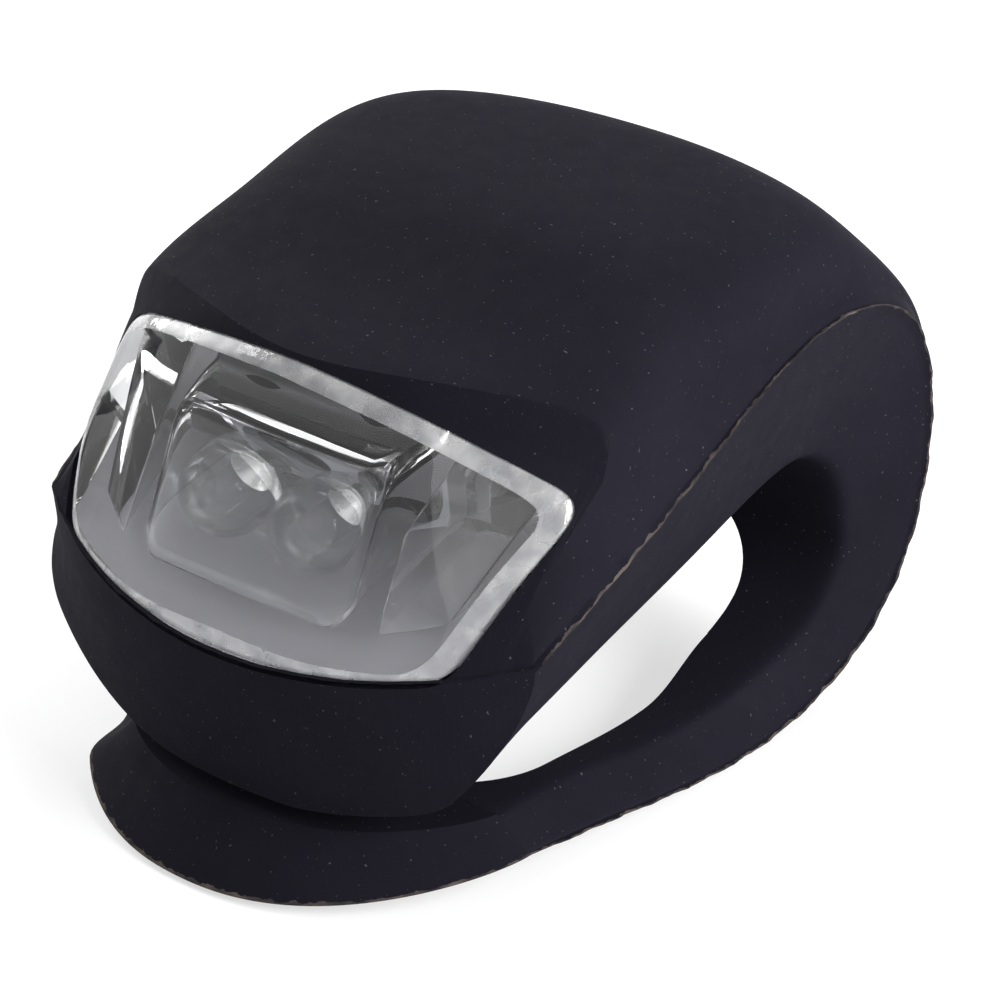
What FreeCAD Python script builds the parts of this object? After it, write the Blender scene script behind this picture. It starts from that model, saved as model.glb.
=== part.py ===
import FreeCAD, Part
import math
import os
from FreeCAD import Vector

# Bike light: a soft jacket with a loop strap, and a clear and plastic module that slides into it.
# Lengths are in millimetres. +X is to the right, -Y is the lens side and +Z is up.
# Profile points are measured from the nose of the jacket and the floor, then moved to the origin.

# Driving dimensions of the jacket
half_width = 17.5            # half of the width at the parting line
depth_middle = 21.0          # from the nose to the middle of the whole length
bottom_level = 0.0           # underside of the strap, which rests on the floor
beyond = 30.0                # half the size of a cutter that is larger than the light
split_level = 4.45           # below this all belongs to the strap
hook_half_width = 8.0
hook_outline = ((8.3, 11.0), (9.4, 1.6), (11.4, 1.2), (13.4, 11.0))   # depth and height

# One row for each arc across the front, from the crown down: its depth in the middle, how far its ends
# lie behind that, and the level and slope of the plane that it lies in.
face_half_chord = 19.0
front_arcs = (
    (12.5, 6.7, 44.5, -0.68),
    (7.0, 6.9, 31.3, -0.68),
    (0.4, 6.85, 12.7, 0.495),
    (0.7, 6.9, 6.4, 0.69),
    (1.2, 9.1, 3.1, 0.69),
    (1.9, 9.1, -3.0, 0.69),
)

# Driving dimensions of the strap
slot_half_width = 10.7       # opening of the loop, in the bottom and the rear wall
slot_corner = 5.0            # rounding of the opening's four corners
slot_front = 7.6             # front end of the opening
slot_top = 9.6               # upper end of the opening in the rear wall
slot_turn = 30.0             # behind this depth the opening also runs up the rear wall
tongue_reach = 10.7          # from where the tongue starts to its tip
tongue_top_half_width = 13.0
tongue_top_reach = 7.4
hinge_height = 12.9          # the line that the strap bends about
hinge_depth = 40.3
hinge_radius = 3.9           # half the thickness of the wall there
hinge_gap = 0.3
hinge_relief = 2.2           # room over the line, on the outside, for the strap to swing

# Driving dimensions of the module
slope_deg = 12.0             # the module leans with the underside of the head
axis_depth = 8.0             # a point on the module's reference line
axis_height = 11.4
module_bottom = 3.6          # over the reference line
module_side_top = 11.6       # top of the side wall
module_crown_top = 14.0      # top of the roof, in the middle
module_front = 7.0           # rear face of the lens, along the module
shell_wall = 1.0
pocket_gap = 0.25            # between the module and the jacket
module_roof_break = 25.5     # from here the roof slopes down to the rear
module_rear_top = 11.9
lens_half_width_low = 13.3
lens_half_width_high = 15.4
lens_side_top = 10.3
lens_crown_top = 14.8
lens_corner = 1.8
lens_gap = 0.1
lens_reach = 25.0            # the lens's outline starts this far in front of the module's line
window_half_width = 6.6
window_outline = ((-4.0, 5.0), (1.4, 12.0))   # front corners of the hollow, along and over the line
side_pocket_inner = 7.8
side_pocket_outer = 12.4
side_pocket_outline = ((-0.6, 5.4), (3.4, 10.6))

# Driving dimensions of what the module holds
cell_radius = 10.0           # CR2032 coin cell
cell_thickness = 3.2
cell_room = 0.3              # from the cells to what is in front of and behind them
cover_rim = 0.7              # how much larger the cover is than a cell
cover_gap = 0.05
coin_slot_width = 1.2
board_thickness = 0.6
board_half_width = 8.0
board_gap = 0.3              # over the cells
led_radius = 2.5
led_spacing = 7.0
led_flange_radius = 2.9
led_flange = 1.0
led_level = 8.4
led_tip = -0.5
led_back = 7.8
lead_size = 0.5
lead_spacing = 2.54
lead_run = 0.2               # straight end of a lead before its bend
holder_depth = 1.4
holder_bottom = 5.1
holder_top = 11.9
switch_size = 5.2
switch_place = 13.5
plunger_radius = 1.1
button_radius = 3.0
button_gap = 0.05
button_travel = 0.25
switch_room = 0.07            # between the pressed button and the switch
contact_thickness = 0.3
contact_width = 4.0
chip_length = 4.0
chip_width = 4.0
chip_height = 0.6
resistor_length = 2.0
resistor_width = 1.2
resistor_height = 0.45

# What follows from them
cell_centre = led_back + lead_run + lead_size + cell_room + cell_radius
cover_radius = cell_radius + cover_rim
module_rear = cell_centre + cell_radius + cell_room + shell_wall
module_half_width = cell_radius + contact_thickness + shell_wall + 1.5
lens_bottom = module_bottom   # the module slides out past the lens opening
board_front = module_front + cell_room
board_rear = module_roof_break
holder_half_width = led_spacing / 2 + led_flange_radius

# One row for each place round the loop: parting line (depth, height, half width), inner edge
# (depth, height, half width), shoulder (rise, half width), crown height and bulge of the under side.
loop_stations = (
    (0.0, 13.0, 16.6, 0.5, 3.6, 12.5, 0.5, 13.4, 8.2, 0.9),
    (6.0, 15.7, 17.3, 5.4, 7.3, 12.9, 1.6, 14.9, 9.2, 0.9),
    (11.0, 17.8, 17.5, 9.4, 8.4, 13.0, 4.6, 16.3, 5.7, 0.8),
    (19.0, 21.2, 17.5, 17.5, 10.4, 13.2, 2.7, 16.5, 7.0, 0.6),
    (25.0, 24.0, 17.5, 24.0, 13.1, 14.2, 1.4, 16.7, 7.0, 0.4),
    (31.0, 25.5, 17.5, 29.8, 15.5, 15.0, 0.9, 16.8, 5.8, 0.2),
    (36.0, 24.9, 17.5, 33.6, 15.2, 15.0, 0.8, 16.8, 4.5, 0.1),
    (39.4, 22.8, 17.5, 35.6, 13.6, 15.0, 0.8, 16.8, 3.9, 0.05),
    (41.6, 18.4, 17.5, 36.6, 11.6, 15.0, 0.8, 16.8, 3.3, 0.05),
    (41.8, 13.2, 17.5, 36.9, 9.9, 15.0, 0.8, 16.8, 2.5, 0.05),
    (40.4, 8.4, 17.5, 36.7, 8.2, 15.0, 0.8, 16.7, 1.7, 0.05),
    (36.5, 3.9, 17.4, 34.6, 5.6, 15.0, 0.8, 16.5, 0.8, 0.05),
    (30.8, 1.0, 16.8, 30.0, 3.9, 14.9, 0.5, 15.6, 0.4, 0.05),
    (22.0, 0.6, 16.2, 22.0, 2.9, 13.9, 0.7, 14.7, 0.2, 0.05),
    (13.8, 1.7, 15.6, 13.8, 3.7, 13.0, 1.8, 13.6, 0.2, 0.05),
    (8.1, 2.4, 15.2, 8.1, 4.1, 13.0, 2.5, 13.0, 0.2, 0.05),
)
loop_steps = 3               # panels between two rows of the table
crown_corner = 0.84          # radius of the crown's two shoulders, as a share of its height


def place(x, depth, height):
    """A point given from the nose and the floor."""
    return Vector(x, depth - depth_middle, height + bottom_level)


def section(row):
    """A closed outline across the loop at one place."""
    rim_y, rim_z, rim_w, in_y, in_z, in_w, rise, shoulder_w, crown, bulge = row
    width_factor = half_width / max(row[2] for row in loop_stations)
    rim_w, in_w, shoulder_w = (w * width_factor for w in (rim_w, in_w, shoulder_w))
    length = math.hypot(rim_y - in_y, rim_z - in_z)
    out_y, out_z = (rim_y - in_y) / length, (rim_z - in_z) / length

    def at(x, height):
        return place(x, rim_y + height * out_y, rim_z + height * out_z)

    corner = crown_corner * crown
    over_corner = shoulder_w - corner
    radius = (over_corner ** 2 - corner ** 2 + crown ** 2) / (2.0 * (crown - corner))
    low = rise + crown - radius
    lean = math.atan2(over_corner, radius - crown)
    meet_x, meet_height = radius * math.sin(lean), low + radius * math.cos(lean)
    half_lean = (math.pi / 2.0 + lean) / 2.0
    half_x, half_height = over_corner + corner * math.sin(half_lean), rise + corner * math.cos(half_lean)
    left = Part.Arc(at(-shoulder_w, rise), at(-half_x, half_height), at(-meet_x, meet_height))
    top = Part.Arc(at(-meet_x, meet_height), at(0.0, rise + crown), at(meet_x, meet_height))
    right = Part.Arc(at(meet_x, meet_height), at(half_x, half_height), at(shoulder_w, rise))
    slant = math.hypot(length, rim_w - in_w)
    middle_x = (rim_w + in_w) / 2.0 + bulge * length / slant
    middle_height = -length / 2.0 - bulge * (rim_w - in_w) / slant
    under_right = Part.Arc(at(rim_w, 0.0), at(middle_x, middle_height), at(in_w, -length))
    under_left = Part.Arc(at(-in_w, -length), at(-middle_x, middle_height), at(-rim_w, 0.0))
    edges = [left.toShape(), top.toShape(), right.toShape(),
             Part.makeLine(at(shoulder_w, rise), at(rim_w, 0.0)),
             under_right.toShape(),
             Part.makeLine(at(in_w, -length), at(-in_w, -length)),
             under_left.toShape(),
             Part.makeLine(at(-rim_w, 0.0), at(-shoulder_w, rise))]
    return Part.Wire(edges)


def plan_arc(front, half_chord, sag, level, slope):
    """An arc across the front, bulging forwards, in a plane that climbs with depth."""
    ends = [place(side * half_chord, front + sag, level + slope * (front + sag)) for side in (-1, 1)]
    middle = place(0.0, front, level + slope * front)
    return Part.Arc(ends[0], middle, ends[1]).toShape()


def front_cutters():
    """What lies in front of the lens face, the nose and the chin."""
    arcs = [plan_arc(front, face_half_chord, sag, level, slope) for front, sag, level, slope in front_arcs]
    cutters = []
    for upper, lower in zip(arcs, arcs[1:]):
        cutters.append(Part.makeRuledSurface(upper, lower).extrude(Vector(0, -beyond, 0)))
    return cutters


def module_point(x, along, over):
    """A point in the module's own directions: across, along its slope and square to it."""
    lean = math.radians(slope_deg)
    return place(x, axis_depth + along * math.cos(lean) - over * math.sin(lean),
                 axis_height + along * math.sin(lean) + over * math.cos(lean))


def module_direction(along, over):
    lean = math.radians(slope_deg)
    return Vector(0, along * math.cos(lean) - over * math.sin(lean),
                  along * math.sin(lean) + over * math.cos(lean))


def arched_outline(along, low_width, high_width, bottom, side_top, crown_top, corner):
    """A wire with a flat bottom, leaning sides, rounded corners and an arched top."""
    lower = corner / math.hypot(high_width - low_width, side_top - bottom)
    side_x = low_width + lower * (high_width - low_width)
    side_over = bottom + lower * (side_top - bottom)
    high = 1.0 - lower
    high_x = low_width + high * (high_width - low_width)
    high_over = bottom + high * (side_top - bottom)
    bend = corner * 0.3
    top_x = high_width - corner
    top_radius = (high_width ** 2 + (crown_top - side_top) ** 2) / (2 * (crown_top - side_top))
    top_over = crown_top - top_radius + math.sqrt(top_radius ** 2 - top_x ** 2)

    def at(x, over):
        return module_point(x, along, over)

    edges = [Part.makeLine(at(-(low_width - corner), bottom), at(low_width - corner, bottom)),
             Part.Arc(at(low_width - corner, bottom), at(low_width - bend, bottom + bend),
                      at(side_x, side_over)).toShape(),
             Part.makeLine(at(side_x, side_over), at(high_x, high_over)),
             Part.Arc(at(high_x, high_over), at(high_width - bend, side_top - bend * 0.2),
                      at(top_x, top_over)).toShape(),
             Part.Arc(at(top_x, top_over), at(0, crown_top), at(-top_x, top_over)).toShape(),
             Part.Arc(at(-top_x, top_over), at(-(high_width - bend), side_top - bend * 0.2),
                      at(-high_x, high_over)).toShape(),
             Part.makeLine(at(-high_x, high_over), at(-side_x, side_over)),
             Part.Arc(at(-side_x, side_over), at(-(low_width - bend), bottom + bend),
                      at(-(low_width - corner), bottom)).toShape()]
    return Part.Wire(edges)


def module_prism(start, end, grow=0.0, corner=2.0):
    """The module's outline along its line, with a roof that slopes down towards the rear."""
    outline = arched_outline(start, module_half_width + grow, module_half_width + grow,
                             module_bottom - grow, module_side_top, module_crown_top + grow, corner)
    body = Part.Face(outline).extrude(module_direction(end - start, 0.0))
    run = 2.0 * (module_rear - module_roof_break)
    fall = 2.0 * (module_crown_top - module_rear_top)
    top = module_crown_top + grow
    over_roof = side_block(-half_width, half_width,
                           ((module_roof_break, top), (module_roof_break + run, top - fall),
                            (module_roof_break + run, top + run), (module_roof_break, top + run)))
    return body.cut(over_roof)


def lens_prism(start, end, grow=0.0):
    outline = arched_outline(start, lens_half_width_low + grow, lens_half_width_high + grow,
                             lens_bottom - grow, lens_side_top, lens_crown_top + grow, lens_corner)
    return Part.Face(outline).extrude(module_direction(end - start, 0.0))


def module_disc(x, along, over, radius, thickness):
    return Part.makeCylinder(radius, thickness, module_point(x, along, over), module_direction(0, 1))


def module_rod(x, along, over, radius, length):
    return Part.makeCylinder(radius, length, module_point(x, along, over), module_direction(1, 0))


def module_block(x_low, x_high, along_low, along_high, over_low, over_high):
    corners = [module_point(x, along_low, over_low) for x in (x_low, x_high)]
    corners += [module_point(x, along_high, over_low) for x in (x_high, x_low)]
    base = Part.Face(Part.makePolygon(corners + corners[:1]))
    return base.extrude(module_direction(0, over_high - over_low))


def rounded_slot(x_half, low, high, corner, at, direction):
    """A rounded rectangle across X, pushed along a direction."""
    points = (at(-x_half, low), at(x_half, low), at(x_half, high), at(-x_half, high))
    block = Part.Face(Part.makePolygon(list(points) + [points[0]])).extrude(direction)
    along_edges = []
    for edge in block.Edges:
        tangent = edge.tangentAt(edge.FirstParameter)
        if abs(abs(tangent.dot(direction.normalize())) - 1.0) < 1e-6:
            along_edges.append(edge)
    return block.makeFillet(corner, along_edges)


def tongue_outline(half, reach, level, slope):
    """A rounded front edge, closed by a straight line where the tongue starts."""
    start = loop_stations[-1][0]
    points = []
    for step in range(-6, 7):
        share = math.sin(step / 6.0 * math.pi / 2.0)
        x = half * share
        depth = start - reach * max(0.0, 1.0 - abs(share) ** 2.2) ** 0.8
        points.append(place(x, depth, level + slope * (depth - start)))
    curve = Part.BSplineCurve()
    curve.interpolate(points)
    return Part.Wire([curve.toShape(), Part.makeLine(points[-1], points[0])])


def make_tongue():
    row = loop_stations[-1]
    bottom = tongue_outline(row[7], tongue_reach - 0.9, 0.0, 0.0)
    rim = tongue_outline(row[2], tongue_reach, row[1], 0.2)
    top = tongue_outline(tongue_top_half_width, tongue_top_reach, row[4], 0.07)
    lower = Part.makeLoft([bottom, rim], True, True)
    upper = Part.makeLoft([rim, top], True, True)
    return lower.fuse(upper)


def rows_between(rows, steps):
    """More rows of the same table, on a Catmull-Rom curve through the given ones."""
    dense = []
    for number in range(len(rows) - 1):
        before, here = rows[max(number - 1, 0)], rows[number]
        after, beyond = rows[number + 1], rows[min(number + 2, len(rows) - 1)]
        for step in range(steps):
            t = step / steps
            dense.append(tuple(
                b + 0.5 * t * (c - a + t * (2 * a - 5 * b + 4 * c - d + t * (3 * b - a - 3 * c + d)))
                for a, b, c, d in zip(before, here, after, beyond)))
    dense.append(rows[-1])
    return dense


def make_loop():
    """Straight panels between many sections, which gives far fewer facets than one curved skin."""
    sections = [section(row) for row in rows_between(loop_stations, loop_steps)]
    return Part.makeLoft(sections, True, True)


def largest(shape, count=1):
    return sorted(shape.Solids, key=lambda solid: -solid.Volume)[:count]


def make_jacket_and_strap():
    loop = make_loop()
    hinge = place(0, hinge_depth, hinge_height)
    across = Vector(1, 0, 0)
    start = Vector(-beyond, hinge.y, hinge.z)
    disc = Part.makeCylinder(hinge_radius, 2 * beyond, start, across)
    room = Part.makeCylinder(hinge_radius + hinge_gap, 2 * beyond, start, across)
    inner_floor = Part.makeBox(2 * beyond, hinge_radius + 8, 20,
                               Vector(-beyond, hinge.y - hinge_radius - 8, hinge.z + hinge_gap - 20))
    outer_floor = Part.makeBox(2 * beyond, 20, 20, Vector(-beyond, hinge.y, hinge.z + hinge_relief - 20))
    low_box = Part.makeBox(2 * beyond, 2 * beyond, split_level + 0.5, Vector(-beyond, -beyond, -0.5))
    head = loop.cut(room).cut(inner_floor).cut(outer_floor).cut(low_box)
    head = largest(head)[0]
    strap_box = Part.makeBox(2 * beyond, 40, 20, Vector(-beyond, hinge.y - 10, hinge.z - 20))
    strap = loop.common(low_box.fuse(strap_box).fuse(disc))
    strap = largest(strap)[0]
    for cutter in front_cutters():
        head = head.cut(cutter)
    head = largest(head)[0]
    strap = strap.fuse(make_tongue()).removeSplitter()
    down = rounded_slot(slot_half_width, slot_front, 2 * beyond, slot_corner,
                        lambda x, y: place(x, y, -2.0), Vector(0, 0, slot_top - slot_corner + 2.0))
    back = rounded_slot(slot_half_width, -20.0, slot_top, slot_corner,
                        lambda x, z: place(x, slot_turn, z), Vector(0, 20, 0))
    strap = strap.cut(down).cut(back)
    below = Part.makeBox(80, 80, 10, Vector(-40, -40, bottom_level - 10))   # the light stands flat
    strap = strap.cut(below)
    corners = [place(-hook_half_width, depth, height) for depth, height in hook_outline + hook_outline[:1]]
    hook = Part.Face(Part.makePolygon(corners)).extrude(Vector(2 * hook_half_width, 0, 0))
    head = head.fuse(hook).removeSplitter()
    return head, strap


def side_block(x_low, x_high, outline):
    """A block across X whose side outline is given along and over the module's line."""
    points = [module_point(x_low, along, over) for along, over in outline]
    return Part.Face(Part.makePolygon(points + points[:1])).extrude(Vector(x_high - x_low, 0, 0))


def open_behind(front_corners, behind):
    """A side outline with the two given front corners, carried back past the lens."""
    low, high = front_corners
    return (low, high, (behind, high[1]), (behind, low[1]))


def make_lens(whole_head):
    """The clear front, hollow behind its middle window and at each side."""
    lens = largest(whole_head.common(lens_prism(-lens_reach, module_front)))[0]
    behind = module_front + 1.0
    lens = lens.cut(side_block(-window_half_width, window_half_width, open_behind(window_outline, behind)))
    for side in (-1, 1):
        inner, outer = sorted((side * side_pocket_inner, side * side_pocket_outer))
        lens = lens.cut(side_block(inner, outer, open_behind(side_pocket_outline, behind)))
    return lens


def make_case():
    """The module's shell, the round cover in its floor and the button in its roof."""
    shell = module_prism(module_front, module_rear)
    hollow = module_prism(module_front - 1, module_rear - shell_wall, -shell_wall, 1.4)
    shell = shell.cut(hollow)
    shell = shell.cut(module_disc(0, cell_centre, module_bottom - 1, cover_radius + cover_gap, 3.0))
    shell = shell.cut(module_disc(0, switch_place, module_crown_top - 3, button_radius + button_gap, 6.0))
    cover = module_disc(0, cell_centre, module_bottom, cover_radius, shell_wall)
    coin_slot = module_block(-4.0, 4.0, cell_centre - coin_slot_width / 2, cell_centre + coin_slot_width / 2,
                             module_bottom - 0.1, module_bottom + shell_wall / 2)
    roof = module_crown_top - shell_wall
    button = module_disc(0, switch_place, roof, button_radius, shell_wall)
    return {"module_shell": shell, "battery_cover": cover.cut(coin_slot), "button_cap": button}


def cell_floor():
    return module_bottom + shell_wall + 0.1


def board_level():
    return cell_floor() + 2 * cell_thickness + board_gap


def make_cells():
    parts = {}
    level = cell_floor()
    for name in ("lower", "upper"):
        can = module_disc(0, cell_centre, level + 0.5, cell_radius, cell_thickness - 0.5)
        cap = module_disc(0, cell_centre, level, cell_radius - 1.4, 1.2)
        parts[name + "_cell_can"] = can.cut(cap)
        parts[name + "_cell_cap"] = cap
        level += cell_thickness
    return parts


def make_board():
    """The board under the roof, with the switch, the chip and two resistors on it."""
    under = board_level()
    top = under + board_thickness
    board = module_block(-board_half_width, board_half_width, board_front, board_rear, under, top)
    half = switch_size / 2
    roof = module_crown_top - shell_wall
    switch_top = roof - button_travel - switch_room
    base = module_block(-half, half, switch_place - half, switch_place + half, top, switch_top)
    base = base.cut(module_disc(0, switch_place, top, plunger_radius + button_gap, roof - top))
    plunger = module_disc(0, switch_place, top + button_travel, plunger_radius, roof - top - button_travel)
    chip_start = switch_place + half + 2.0
    chip = module_block(-chip_width / 2, chip_width / 2, chip_start, chip_start + chip_length,
                        top, top + chip_height)
    resistor_start = chip_start + chip_length + 1.0
    resistors = []
    for side in (-1, 1):
        low, high = sorted((side * 0.9, side * (0.9 + resistor_length)))
        resistors.append(module_block(low, high, resistor_start, resistor_start + resistor_width,
                                      top, top + resistor_height))
    for side in (-1, 1):
        for lead in (-0.5, 0.5):
            x = side * led_spacing / 2 + lead * lead_spacing
            board = board.cut(lead_riser(x, 0.05))
    return {"circuit_board": board, "switch_base": base, "switch_plunger": plunger,
            "controller_chip": chip, "resistors": Part.makeCompound(resistors)}


def lead_riser(x, grow=0.0):
    """The upright part of one lead, from the back of its lamp to just over the board."""
    half = lead_size / 2 + grow
    start = led_back + lead_run
    top = board_level() + board_thickness + 0.2
    return module_block(x - half, x + half, start - grow, start + lead_size + grow, led_level - half, top)


def make_leds():
    """Two clear lamps, the holder round them and their bent leads."""
    parts = {}
    holder = module_block(-holder_half_width, holder_half_width, led_back - led_flange - holder_depth,
                          led_back - led_flange, holder_bottom, holder_top)
    for name, side in (("left", -1), ("right", 1)):
        x = side * led_spacing / 2
        neck = led_tip + led_radius
        dome = module_rod(x, neck, led_level, led_radius, led_back - neck)
        dome = dome.fuse(Part.makeSphere(led_radius, module_point(x, neck, led_level)))
        dome = dome.fuse(module_rod(x, led_back - led_flange, led_level, led_flange_radius, led_flange))
        parts["led_" + name + "_dome"] = dome.removeSplitter()
        holder = holder.cut(module_rod(x, -10, led_level, led_radius + 0.05, 30))
        leads = []
        for lead in (-0.5, 0.5):
            lead_x = x + lead * lead_spacing
            half = lead_size / 2
            foot = module_block(lead_x - half, lead_x + half, led_back, led_back + lead_run + lead_size,
                                led_level - half, led_level + half)
            leads.append(foot.fuse(lead_riser(lead_x)).removeSplitter())
        parts["led_" + name + "_leads"] = Part.makeCompound(leads)
    parts["led_holder"] = holder
    return parts


def make_contacts():
    """Two bent strips beside the cells, from the board down to each pole."""
    parts = {}
    near = cell_radius + 0.1
    far = near + contact_thickness
    low = cell_centre - contact_width / 2
    high = cell_centre + contact_width / 2
    under = board_level()
    foot = board_gap - 0.1
    for name, side in (("positive", 1), ("negative", -1)):
        inner, outer = sorted((side * near, side * far))
        strip = module_block(inner, outer, low, high, cell_floor() - 0.08, under)
        inner, outer = sorted((side * (board_half_width - 1.0), side * far))
        strip = strip.fuse(module_block(inner, outer, low, high, under - foot, under))
        if name == "negative":
            strip = strip.fuse(module_block(-far, -cell_radius + 3.0, low, high,
                                            cell_floor() - 0.08, cell_floor() - 0.02))
        parts[name + "_contact"] = strip.removeSplitter()
    return parts


def make_parts():
    head, strap = make_jacket_and_strap()
    whole_head = head
    pocket = lens_prism(-lens_reach, module_front + lens_gap, lens_gap)
    pocket = pocket.fuse(module_prism(module_front - 0.1, module_rear + pocket_gap, pocket_gap))
    parts = {"jacket": head.cut(pocket), "strap": strap}

    parts["lens"] = make_lens(whole_head)
    parts.update(make_case())
    parts.update(make_cells())
    parts.update(make_board())
    parts.update(make_leds())
    parts.update(make_contacts())
    return parts


if __name__ == "__main__":
    os.makedirs("parts", exist_ok=True)
    for name, shape in make_parts().items():
        print(name, "valid", shape.isValid(), "solids", len(shape.Solids), "volume", round(shape.Volume, 2))
        shape.exportStep("parts/" + name + ".step")
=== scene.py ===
# %% [markdown]
# # A silicone bike light
# The object is a small bike light: a soft silicone jacket whose rear runs down into a loop strap, and
# a clear-fronted module that sits in a pocket of the jacket. The solids come from the CAD model, and this
# lesson dresses them. Soft pieces and the clear lens are built again as finer surfaces in the same places.

# %% Load the CAD model
import math

import bpy
import numpy as np
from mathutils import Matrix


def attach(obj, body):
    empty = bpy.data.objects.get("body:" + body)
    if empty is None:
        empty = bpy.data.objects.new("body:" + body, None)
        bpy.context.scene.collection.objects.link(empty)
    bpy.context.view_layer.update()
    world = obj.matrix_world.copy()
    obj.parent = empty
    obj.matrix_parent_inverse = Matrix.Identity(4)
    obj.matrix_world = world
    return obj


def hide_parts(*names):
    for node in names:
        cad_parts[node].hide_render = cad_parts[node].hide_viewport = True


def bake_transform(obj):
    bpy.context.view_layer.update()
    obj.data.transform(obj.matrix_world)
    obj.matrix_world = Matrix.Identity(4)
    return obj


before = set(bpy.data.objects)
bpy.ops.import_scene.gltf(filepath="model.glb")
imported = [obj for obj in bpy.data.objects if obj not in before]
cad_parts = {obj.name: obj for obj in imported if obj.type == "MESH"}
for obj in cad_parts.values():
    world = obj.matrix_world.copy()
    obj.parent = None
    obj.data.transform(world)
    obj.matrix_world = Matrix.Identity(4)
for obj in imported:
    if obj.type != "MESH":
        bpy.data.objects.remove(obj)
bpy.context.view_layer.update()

# %% [markdown]
# ## Measuring
# Every profile point below is a depth from the nose of the jacket and a height over the floor, in
# millimetres, because that is how one measures such a thing with a caliper. One function moves them to
# the model's origin and to Blender's metres.

# %% From caliper readings to the model's space
MM = 0.001
DEPTH_MIDDLE = 21.0


def place(x, depth, height):
    """(x, depth - 21, height) / 1000, for arrays of any shape."""
    x, depth, height = np.broadcast_arrays(np.asarray(x, float), depth, height)
    return np.stack([x, depth - DEPTH_MIDDLE, height], axis=-1) * MM


LEAN = math.radians(12.0)          # the module rises to the rear
MODULE_DEPTH, MODULE_HEIGHT = 8.0, 11.4


def module_place(x, along, over):
    """A point in the module's own directions, a along it and o over its base line:
    depth = 8 + a cos 12 - o sin 12 and height = 11.4 + a sin 12 + o cos 12."""
    along, over = np.asarray(along, float), np.asarray(over, float)
    return place(x, MODULE_DEPTH + along * math.cos(LEAN) - over * math.sin(LEAN),
                 MODULE_HEIGHT + along * math.sin(LEAN) + over * math.cos(LEAN))


# %% [markdown]
# ## Turning grids into meshes
# A surface is a grid of points with rows and columns. The columns may close on themselves, as round a
# tube, and the two ends may be closed with one flat face each. A UV map carries two numbers along with
# the surface: how far along it a point is, and how far it is from the parting line.

# %% Grid to mesh
def grid_object(name, points, uv=None, close_columns=True, caps=True):
    """Quads between neighbouring rows and columns; an end cap is the first or last row as one face."""
    rows, columns = points.shape[:2]
    index = np.arange(rows * columns).reshape(rows, columns)
    last = columns if close_columns else columns - 1
    here = np.arange(last)
    beside = (here + 1) % columns
    quads = np.stack([index[:-1][:, here], index[:-1][:, beside],
                      index[1:][:, beside], index[1:][:, here]], axis=-1).reshape(-1, 4)
    faces = quads.tolist()
    if caps:
        faces.append(index[0][::-1].tolist())
        faces.append(index[-1].tolist())
    mesh = bpy.data.meshes.new(name)
    mesh.from_pydata(points.reshape(-1, 3).tolist(), [], faces)
    layer = mesh.uv_layers.new(name="surface")
    if uv is not None:
        corner_vertex = np.empty(len(mesh.loops), dtype=np.int32)
        mesh.loops.foreach_get("vertex_index", corner_vertex)
        layer.data.foreach_set("uv", uv.reshape(-1, 2)[corner_vertex].astype(np.float32).ravel())
    mesh.validate()
    mesh.update()
    thing = bpy.data.objects.new(name, mesh)
    bpy.context.scene.collection.objects.link(thing)
    turn_outwards(thing)
    return thing


def turn_outwards(thing):
    """A closed mesh's volume is the sum of a.(b x c) / 6 over its triangles. Where it is negative, the
    faces turn round."""
    mesh = thing.data
    mesh.calc_loop_triangles()
    triangles = np.empty(len(mesh.loop_triangles) * 3, dtype=np.int32)
    mesh.loop_triangles.foreach_get("vertices", triangles)
    at = np.empty(len(mesh.vertices) * 3)
    mesh.vertices.foreach_get("co", at)
    corners = at.reshape(-1, 3)[triangles.reshape(-1, 3)]
    volume = np.einsum("ij,ij->i", corners[:, 0], np.cross(corners[:, 1], corners[:, 2])).sum() / 6
    if volume < 0:
        mesh.flip_normals()
    return volume


def combine(thing, other, how):
    """thing with other taken away or added, by an exact Boolean modifier that is then made the mesh."""
    modifier = thing.modifiers.new("combine", "BOOLEAN")
    modifier.operation = how
    modifier.solver = "EXACT"
    modifier.object = other
    graph = bpy.context.evaluated_depsgraph_get()
    result = bpy.data.meshes.new_from_object(thing.evaluated_get(graph))
    thing.modifiers.clear()
    old = thing.data
    thing.data = result
    bpy.data.meshes.remove(old)
    bpy.data.objects.remove(other)
    return thing


def shade(thing, degrees=35.0):
    """Smooth shading with a crisp line wherever two faces meet at more than the angle."""
    thing.data.shade_smooth()
    thing.data.set_sharp_from_angle(angle=math.radians(degrees))
    return thing


# %% [markdown]
# ## Smooth curves through a few places
# The loop of silicone is described at sixteen places. A natural cubic spline through them gives every
# place in between, and it is worked out for all of them at once.

# %% A natural cubic spline
def through(knots, values, at):
    """Solves the spline's second derivatives from continuity of slope, then evaluates each interval."""
    values = np.asarray(values, float).reshape(len(knots), -1)
    gap = np.diff(knots)
    n = len(knots)
    system = np.eye(n)
    inner = np.arange(1, n - 1)
    system[inner, inner - 1] = gap[:-1]
    system[inner, inner] = 2 * (gap[:-1] + gap[1:])
    system[inner, inner + 1] = gap[1:]
    slope = np.diff(values, axis=0) / gap[:, None]
    right = np.zeros_like(values)
    right[1:-1] = 6 * np.diff(slope, axis=0)
    bend = np.linalg.solve(system, right)
    k = np.clip(np.searchsorted(knots, at) - 1, 0, n - 2)
    h, t = gap[k][:, None], (at - knots[k])[:, None]
    return (values[k] + t * (slope[k] - h * (2 * bend[k] + bend[k + 1]) / 6)
            + t ** 2 * bend[k] / 2 + t ** 3 * (bend[k + 1] - bend[k]) / (6 * h))


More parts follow.
